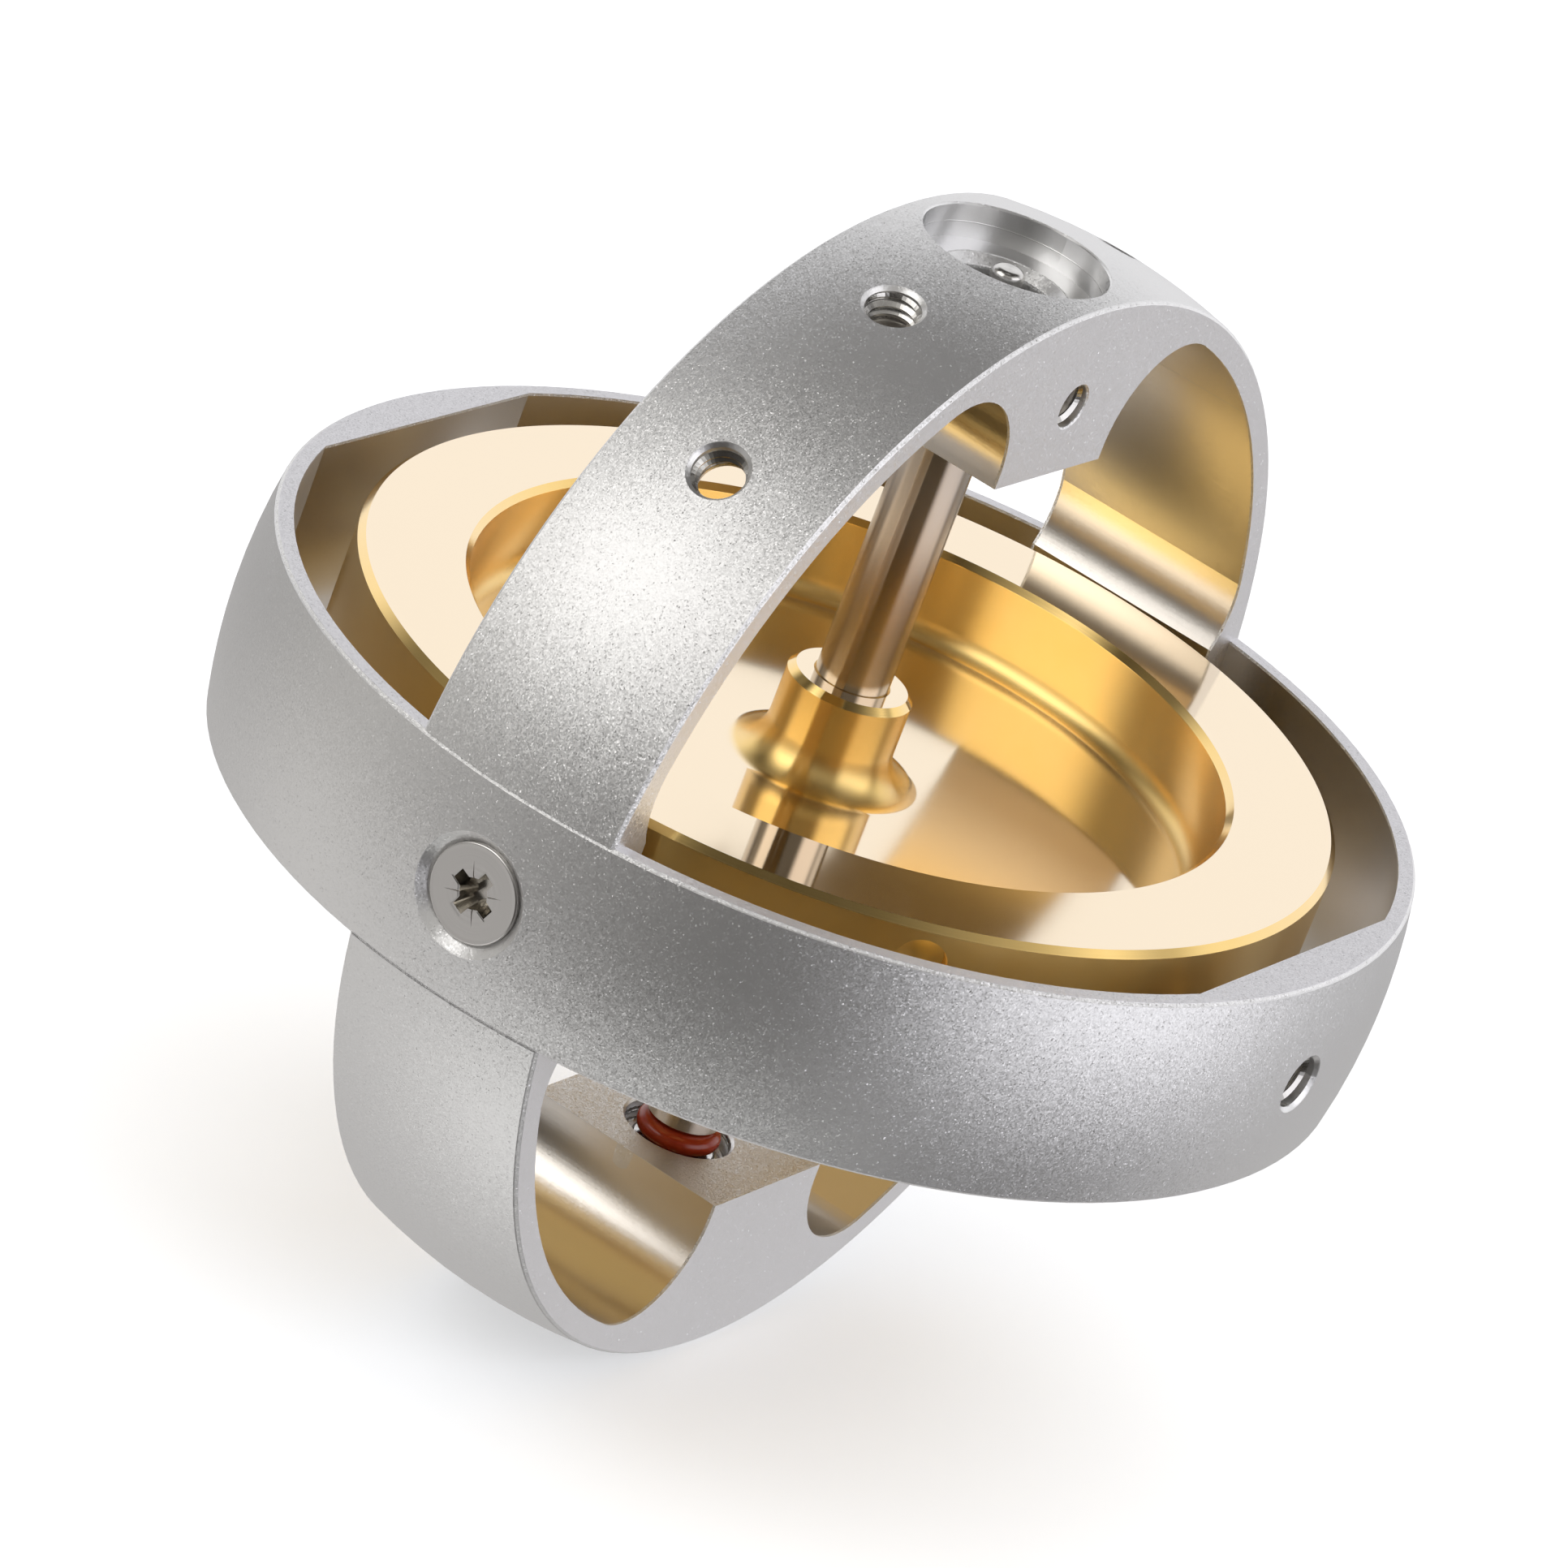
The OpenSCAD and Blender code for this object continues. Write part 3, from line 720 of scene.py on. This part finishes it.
def cut(mesh, cutter):
    """The mesh with the shape that the cutter puts in a bmesh taken out."""
    work = bmesh.new()
    cutter(work)
    tool = bpy.data.objects.new("tool", mesh_of(work, "tool"))
    blank = bpy.data.objects.new("blank", mesh)
    for thing in (tool, blank):
        bpy.context.scene.collection.objects.link(thing)
    taken = blank.modifiers.new("cut", "BOOLEAN")
    taken.operation = "DIFFERENCE"
    taken.solver = "EXACT"
    taken.object = tool
    graph = bpy.context.evaluated_depsgraph_get()
    found = bpy.data.meshes.new_from_object(blank.evaluated_get(graph))
    for thing in (tool, blank):
        bpy.data.objects.remove(thing)
    return found


def bridge(work, a, b):
    """Faces between two closed rows of vertices. A row may be one vertex, over and over."""
    for i in range(len(a)):
        j = (i + 1) % len(a)
        work.faces.new(tuple(dict.fromkeys((a[i], a[j], b[j], b[i]))))


def rotor_section():
    """Upper half of the rotor's section, from the outside of the rim to the bore."""
    wall = (POCKET_R - WALL_FILLET, WEB_TOP + WALL_FILLET)
    foot = (HUB_R + HUB_FILLET, WEB_TOP + HUB_FILLET)
    return (straight((ROTOR_R, 0), (ROTOR_R, ROTOR_TOP - RIM_BEVEL), (ROTOR_R - RIM_BEVEL, ROTOR_TOP),
                     (POCKET_R + LIP_BEVEL, ROTOR_TOP), (POCKET_R, ROTOR_TOP - LIP_BEVEL),
                     (POCKET_R, wall[1]))
            + curve(wall, WALL_FILLET, 0, -90, FILLET_PARTS)
            + straight((wall[0], WEB_TOP), (foot[0], WEB_TOP))
            + curve(foot, HUB_FILLET, -90, -180, FILLET_PARTS)
            + straight((HUB_R, foot[1]), (HUB_R, ROTOR_TOP - HUB_BEVEL), (HUB_R - HUB_BEVEL, ROTOR_TOP),
                       (AXLE_R + BORE_BEVEL, ROTOR_TOP), (AXLE_R, ROTOR_TOP - BORE_BEVEL), (AXLE_R, 0)))


def add_rotor(material):
    """The rotor, with its balance drilling."""
    edges = and_below(rotor_section())
    direction = Matrix.Rotation(math.radians(DRILLING_ANGLE), 4, "Z")
    axis = direction @ Vector((1, 0, 0))
    start = Vector((0, 0, DRILLING_HEIGHT))

    def drill(work):
        """The drill, with its point inwards."""
        point = DRILLING_FLOOR - DRILLING_POINT
        outside = ROTOR_R + DRILLING_OVERRUN
        revolve(work, [(0, point), (DRILLING_R, DRILLING_FLOOR), (DRILLING_R, outside), (0, outside)],
                DRILL_STEPS)
        upright = Matrix.Translation(start) @ direction @ Matrix.Rotation(math.pi / 2, 4, "Y")
        bmesh.ops.transform(work, matrix=upright, verts=work.verts)

    def drilled(point, normal):
        """The normal of the drilling's wall or of its conical floor."""
        away = point - start - axis * (point - start).dot(axis)
        inward = -away.normalized() if away.length > 1e-3 else Vector((0, 0, 0))
        if abs(normal.dot(axis)) < FACING_LEAST:
            return inward
        slope = math.atan2(DRILLING_R, DRILLING_POINT)
        return (inward * math.cos(slope) + axis * math.sin(slope)).normalized()

    mesh = cut(turn(edges, ROTOR_STEPS), drill)
    true_normals(mesh, edges, drilled)
    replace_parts(show("flywheel_turned", mesh, material, "rotor"), "flywheel")


def axle_section():
    """Upper half of the axle's section, from the middle of its side to its end."""
    corner = (AXLE_END[0] - TIP_ROUND, AXLE_TIP - TIP_ROUND)
    return (straight((AXLE_R, 0), (AXLE_R, SHOULDER - SHOULDER_BEVEL),
                     (AXLE_R - SHOULDER_BEVEL, SHOULDER), (NECK_R, SHOULDER), (NECK_R, COLLAR[1]),
                     COLLAR, (COLLAR[0], JOURNAL[1]), JOURNAL, (JOURNAL[0], AXLE_END[1]),
                     AXLE_END, (AXLE_END[0], corner[1]))
            + curve(corner, TIP_ROUND, 0, 90, TIP_PARTS)
            + straight((corner[0], AXLE_TIP), (0, AXLE_TIP)))


def add_axle(material):
    """The axle, turned with its shoulders, necks and round tips."""
    edges = and_below(axle_section())
    mesh = turn(edges, FINE_STEPS)
    true_normals(mesh, edges)
    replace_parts(show("axle_turned", mesh, material, "rotor"), "axle")


# Threads and screws

def thread(work, bore_r, start, end, placed):
    """The ridge of an internal thread, in a bore up the Z axis that placed then moves."""
    turns = (end - start - PITCH) / PITCH
    foot_r = bore_r + THREAD_SINK
    rings = []
    for i in range(int(turns * THREAD_STEPS) + 1):
        turned_by = i / THREAD_STEPS
        angle = 2 * math.pi * turned_by
        middle = start + PITCH * (0.5 + turned_by)
        share = min(1, turned_by / THREAD_RUN_IN, (turns - turned_by) / THREAD_RUN_IN)
        crest_r = bore_r - THREAD_DEPTH * max(share, THREAD_LEAST_SHARE)
        section = [(foot_r, -THREAD_FOOT_SHARE), (crest_r, -THREAD_CREST_SHARE),
                   (crest_r, THREAD_CREST_SHARE), (foot_r, THREAD_FOOT_SHARE)]
        ring = []
        for r, rise in section:
            point = Vector((r * math.cos(angle), r * math.sin(angle), middle + rise * PITCH))
            ring.append(work.verts.new(placed @ point))
        rings.append(ring)
    for a, b in zip(rings, rings[1:]):
        bridge(work, a, b)
    work.faces.new(rings[0])
    work.faces.new(reversed(rings[-1]))


def add_threads(material):
    """Threads in every hole whose thread shows."""
    def tipped(angle, axis):
        """A turn about an axis, in degrees."""
        return Matrix.Rotation(math.radians(angle), 4, axis)

    lock_hole = Matrix.Translation((0, 0, LOCK_HOLE_Z)) @ tipped(90, "X")
    holes = {
        "high_hole_thread_left": (HOLE_R, HIGH_HOLE_END, HOLE_MOUTH, tipped(-HIGH_HOLE_ANGLE, "Y")),
        "high_hole_thread_right": (HOLE_R, HIGH_HOLE_END, HOLE_MOUTH, tipped(HIGH_HOLE_ANGLE, "Y")),
        "low_hole_thread_left": (HOLE_R, WINDOW_R, HOLE_MOUTH, tipped(-LOW_HOLE_ANGLE, "Y")),
        "low_hole_thread_right": (HOLE_R, WINDOW_R + HOLE_SKIN, HOLE_MOUTH,
                                  tipped(LOW_HOLE_ANGLE, "Y")),
        "girdle_hole_thread_front": (HOLE_R, GIRDLE_FLAT, HOLE_MOUTH, tipped(90, "X")),
        "girdle_hole_thread_back": (HOLE_R, GIRDLE_FLAT, HOLE_MOUTH, tipped(-90, "X")),
        "lock_hole_thread": (LOCK_HOLE_R, LOCK_THREAD_START, LOCK_THREAD_END, lock_hole),
        "upper_cup_thread": (HOLDER_HOLE_R, HOLDER_END, HOLDER_HOLE_MOUTH, Matrix.Identity(4)),
        "lower_cup_thread": (HOLDER_HOLE_R, HOLDER_END, HOLDER_HOLE_MOUTH, tipped(180, "X")),
        "upper_boss_thread": (HOLDER_HOLE_R, BOSS_FACE + BOSS_THREAD_INSET, HOLDER_START,
                              Matrix.Identity(4)),
        "lower_boss_thread": (HOLDER_HOLE_R, BOSS_FACE + BOSS_THREAD_INSET, HOLDER_START,
                              tipped(180, "X")),
    }
    for name, (bore_r, start, end, placed) in holes.items():
        work = bmesh.new()
        thread(work, bore_r, start, end, placed)
        show(name, mesh_of(work, name), material, "frame")


def hole_bottom(name, angle, middle, arc_r, edge_r):
    """A skin over the inner end of a hole that leans by the angle. It follows an arc of the window."""
    lean = math.radians(angle)
    axis = Vector((math.sin(lean), 0, math.cos(lean)))
    across = Vector((math.cos(lean), 0, -math.sin(lean)))

    def window(u):
        """How far up the hole's axis the window's surface is, at u beside it."""
        return axis.dot(middle) + math.sqrt(arc_r ** 2 - (u - across.dot(middle)) ** 2)

    # Where the skin is wider than the hole it stands proud, and its edge dips into the ring
    proud = SKIN_PROUD if edge_r > HOLE_R else 0
    work = bmesh.new()
    inner, outer = [], []
    for share in SKIN_SHARES:
        reach = share * edge_r
        cone = window(0) + HOLE_SKIN + (reach - HOLE_R) * HOLE_CONE
        dip = proud if share == 1 else -proud
        for rows, is_outer in ((inner, False), (outer, True)):
            row = []
            for i in range(THREAD_STEPS if share else 1):
                turned_by = 2 * math.pi * i / THREAD_STEPS
                u, v = reach * math.cos(turned_by), reach * math.sin(turned_by)
                up = max(cone, window(u) + SKIN_LEAST) if is_outer else window(u) + dip
                row.append(work.verts.new(axis * up + across * u + Vector((0, v, 0))))
            rows.append([row[i % len(row)] for i in range(THREAD_STEPS)])
    for a, b in [*zip(inner, inner[1:]), *zip(outer, outer[1:]), (inner[-1], outer[-1])]:
        bridge(work, a, b)
    mesh = mesh_of(work, name)
    normals = []
    for face in mesh.polygons:
        face.use_smooth = True
        faces_window = face.normal.dot(axis) < -FACING_LEAST
        for index in face.vertices:
            away = middle - mesh.vertices[index].co / MM
            away.y = 0
            normals.append(away.normalized() if faces_window else face.normal)
    mesh.normals_split_custom_set(normals)
    return mesh


def add_hole_bottoms(material):
    """Three holes of the upright ring are blind: a skin closes their inner end."""
    corner_z = math.sqrt((WINDOW_R - CORNER_R) ** 2 - BOSS_CORNER_X ** 2)
    for side, sign in (("left", -1), ("right", 1)):
        name = "high_hole_bottom_" + side
        corner = Vector((sign * BOSS_CORNER_X, 0, corner_z))
        mesh = hole_bottom(name, sign * HIGH_HOLE_ANGLE, corner, CORNER_R, HOLE_R)
        show(name, mesh, material, "frame")
    name = "low_hole_bottom_right"
    mesh = hole_bottom(name, LOW_HOLE_ANGLE, Vector((0, 0, 0)), WINDOW_R, HOLE_R + SKIN_OVERLAP)
    show(name, mesh, material, "frame")


def revolve(work, profile, steps):
    """A closed solid of revolution about the Z axis, from (radius, height) points."""
    rings = []
    for r, z in profile:
        count = steps if r else 1
        ring = [work.verts.new((r * math.cos(2 * math.pi * i / steps),
                                r * math.sin(2 * math.pi * i / steps), z)) for i in range(count)]
        rings.append([ring[i % count] for i in range(steps)])
    for a, b in zip(rings, rings[1:]):
        bridge(work, a, b)


def prism(work, outline, low, high, low_scale=1.0):
    """A prism between two heights, whose lower end is scaled."""
    bottom = [work.verts.new((x * low_scale, y * low_scale, low)) for x, y in outline]
    top = [work.verts.new((x, y, high)) for x, y in outline]
    work.faces.new(reversed(bottom))
    work.faces.new(top)
    bridge(work, bottom, top)


def cross_outline():
    """The cross recess from above: four wings with flat ends and steps between them."""
    step, flare = CROSS_CORE + CROSS_STEP, CROSS_HALF + CROSS_FLARE
    quarter = [(CROSS_REACH, -CROSS_HALF), (CROSS_REACH, CROSS_HALF), (step, flare),
               (CROSS_CORE, CROSS_CORE), (flare, step)]
    points = []
    for i in range(4):
        c, s = round(math.cos(i * math.pi / 2)), round(math.sin(i * math.pi / 2))
        points += [(x * c - y * s, x * s + y * c) for x, y in quarter]
    return points


def screw_mesh(foot, top):
    """A countersunk screw up the Z axis, with its cross recess and the marks beside it."""
    def recess(work):
        """The recess, which narrows downwards."""
        prism(work, cross_outline(), top - CROSS_DEPTH, top + CUT_OVERRUN, CROSS_TAPER)

    def mouth(work):
        """The bevel round the recess."""
        outline = [(x * CROSS_MOUTH, y * CROSS_MOUTH) for x, y in cross_outline()]
        prism(work, outline, top - CROSS_EDGE, top + CROSS_EDGE, 1 / CROSS_MOUTH)

    def ticks(work):
        """Four marks between the wings."""
        for i in range(4):
            angle = math.radians(45 + 90 * i)
            c, s = math.cos(angle), math.sin(angle)
            outline = [(TICK_FROM, -TICK_HALF), (TICK_TO, 0), (TICK_FROM, TICK_HALF)]
            prism(work, [(x * c - y * s, x * s + y * c) for x, y in outline],
                  top - TICK_DEPTH, top + CUT_OVERRUN)

    rim = top - HEAD_EDGE
    edges = straight((0, foot), (SHANK_R - SHANK_BEVEL, foot), (SHANK_R, foot + SHANK_BEVEL),
                     (SHANK_R, rim - (HEAD_R - SHANK_R)), (HEAD_R, rim), (HEAD_R, top - HEAD_ROUND))
    edges += curve((HEAD_R - HEAD_ROUND, top - HEAD_ROUND), HEAD_ROUND, 0, 90, HEAD_PARTS)
    edges += straight((HEAD_R - HEAD_ROUND, top), (0, top))
    mesh = cut(cut(cut(turn(edges, FINE_STEPS), recess), mouth), ticks)
    true_normals(mesh, edges, lambda point, normal: normal)
    return mesh


def add_ring_screws(material):
    """The two side screws, each in the place of its node."""
    for side, tip in (("left", -90), ("right", 90)):
        node = "ring_screw_" + side
        ends = sorted(abs(corner.x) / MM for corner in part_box(node))
        mesh = screw_mesh(*ends)
        mesh.transform(Matrix.Rotation(math.radians(tip), 4, "Y")
                       @ Matrix.Rotation(math.radians(HEAD_TURN), 4, "Z"))
        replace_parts(show(node + "_detailed", mesh, material, "frame"), node)


# Stage

def add_camera():
    """The photograph's camera, which leans, because the gyroscope lies tipped in the photo."""
    data = bpy.data.cameras.new("camera")
    data.lens = CAMERA_LENS
    data.sensor_width = CAMERA_SENSOR
    data.shift_x, data.shift_y = CAMERA_SHIFT
    data.clip_start, data.clip_end = (far * MM for far in CAMERA_SEES)
    camera = bpy.data.objects.new("camera", data)
    bpy.context.scene.collection.objects.link(camera)
    azimuth, elevation = math.radians(CAMERA_AZIMUTH), math.radians(CAMERA_ELEVATION)
    back = Vector((math.sin(azimuth) * math.cos(elevation),
                   -math.cos(azimuth) * math.cos(elevation), math.sin(elevation)))
    level = (-back).to_track_quat("-Z", "Y").to_matrix().to_4x4()
    camera.matrix_world = (Matrix.Translation(Vector(CAMERA_PLACE) * MM) @ level
                           @ Matrix.Rotation(math.radians(CAMERA_ROLL), 4, "Z"))
    bpy.context.scene.camera = camera


def room_light(tree, direction):
    """The colour that the room shows in a direction."""
    x, y, z = add(tree, "SeparateXYZ", {0: direction}).outputs
    azimuth = calc(tree, "DEGREES", calc(tree, "ARCTAN2", y, x))
    elevation = calc(tree, "DEGREES", calc(tree, "ARCSINE", z))
    colour = ROOM_LEVEL
    for middle, height, half_w, half_h, light in SOFTBOXES.values():
        beside = calc(tree, "WRAP", calc(tree, "SUBTRACT", azimuth, middle), 180.0, -180.0)
        beside = calc(tree, "ABSOLUTE", beside)
        over = calc(tree, "ABSOLUTE", calc(tree, "SUBTRACT", elevation, height))
        edge = BOX_EDGE / 2
        mask = both(tree, ramp(tree, beside, half_w - edge, half_w + edge, 1, 0),
                    ramp(tree, over, half_h - edge, half_h + edge, 1, 0))
        colour = summed(tree, colour, scaled(tree, light, mask))
    return colour


def add_world():
    """A room of soft boxes, plain white where the camera sees it."""
    world = bpy.data.worlds.new("studio")
    bpy.context.scene.world = world
    world.use_nodes = True
    tree = world.node_tree
    tree.nodes.clear()
    direction = add(tree, "TexCoord").outputs["Generated"]
    room = add(tree, "Background", {"Color": room_light(tree, direction)}).outputs[0]
    white = add(tree, "Background", {"Color": (1, 1, 1, 1), "Strength": 1.0}).outputs[0]
    seen = add(tree, "LightPath").outputs["Is Camera Ray"]
    mix = add(tree, "MixShader", {0: seen, 1: room, 2: white})
    out = add(tree, "OutputWorld")
    tree.links.new(mix.outputs[0], out.inputs["Surface"])


def add_floor():
    """A pale floor with the gyroscope's soft shadow, deepened near its middle by painted shade. It is
    clear from below, and to gloss and glass, which see the room's own pale light there."""
    material = bpy.data.materials.new("floor")
    material.use_nodes = True
    tree = material.node_tree
    tree.nodes.clear()
    path = add(tree, "LightPath").outputs
    paper = add(tree, "BsdfDiffuse", {"Color": (*FLOOR_COLOUR, 1)}).outputs[0]
    # To the camera it is lifted towards white, and least near its middle, where the shadow is: the
    # weaker lift there is painted shade
    place = Place(tree)
    away = place.radius(place.x, place.y)
    lift = ramp(tree, away, FLOOR_NEAR, FLOOR_FAR, FLOOR_LIFT_NEAR, FLOOR_LIFT_FAR)
    lift = calc(tree, "MULTIPLY", path["Is Camera Ray"], lift)
    glow = add(tree, "Emission", {"Strength": lift}).outputs[0]
    lit = add(tree, "AddShader", {0: paper, 1: glow}).outputs[0]
    clear = add(tree, "BsdfTransparent").outputs[0]
    through = either(tree, path["Is Glossy Ray"], path["Is Transmission Ray"],
                     add(tree, "NewGeometry").outputs["Backfacing"])
    surface = add(tree, "MixShader", {0: through, 1: lit, 2: clear}).outputs[0]
    tree.links.new(surface, add(tree, "OutputMaterial").inputs["Surface"])
    mesh = bpy.data.meshes.new("floor")
    half, depth = FLOOR_HALF * MM, FLOOR_DEPTH * MM
    corners = [(x * half, y * half, depth) for x, y in ((-1, -1), (1, -1), (1, 1), (-1, 1))]
    mesh.from_pydata(corners, [], [(0, 1, 2, 3)])
    mesh.materials.append(material)
    floor = bpy.data.objects.new("floor", mesh)
    bpy.context.scene.collection.objects.link(floor)


add_camera()
add_world()
add_floor()

axle_ring_finish = ring_finish("axle_ring_aluminium", AXLE_RING_FACE_PAINTED_LIGHT, axle_ring_regions)
girdle_ring_finish = ring_finish("girdle_ring_aluminium", GIRDLE_RING_FACE_PAINTED_SHADE, girdle_ring_regions)
rotor_finish = brass()
axle_finish = axle_steel()
screw_finish = screw_metal()
lock_screw_finish = plain_metal("lock_screw_steel", SCREW_STEEL, LOCK_SCREW_ROUGH)
bearing_finish = plain_metal("bearing_steel", BEARING_STEEL, BEARING_ROUGH)
# The threads get painted shade: a darker colour than the rings they are cut in
shaded_thread_finish = plain_metal("thread_aluminium_painted_shade", THREAD_ALUMINIUM_PAINTED_SHADE, THREAD_ROUGH)
seal_finish = rubber()

dress(["axle_ring"], axle_ring_finish)
dress(["girdle_ring"], girdle_ring_finish)
dress(["flywheel"], rotor_finish)
dress(["axle"], axle_finish)
dress(["ring_screw_left", "ring_screw_right"], screw_finish)
dress(["holder_lock_screw"], lock_screw_finish)
ENDS = ("upper", "lower")
BEARING_PIECES = ("outer_race", "inner_race", "bearing_balls", "ball_cage", "bearing_shields",
                  "bearing_holder")
dress([f"{end}_{piece}" for end in ENDS for piece in BEARING_PIECES], bearing_finish)
dress([f"{end}_o_ring" for end in ENDS], seal_finish)

add_rotor(rotor_finish)
add_axle(axle_finish)
add_threads(shaded_thread_finish)
add_hole_bottoms(axle_ring_finish)
add_ring_screws(screw_finish)

bpy.context.scene.view_settings.view_transform = "Standard"
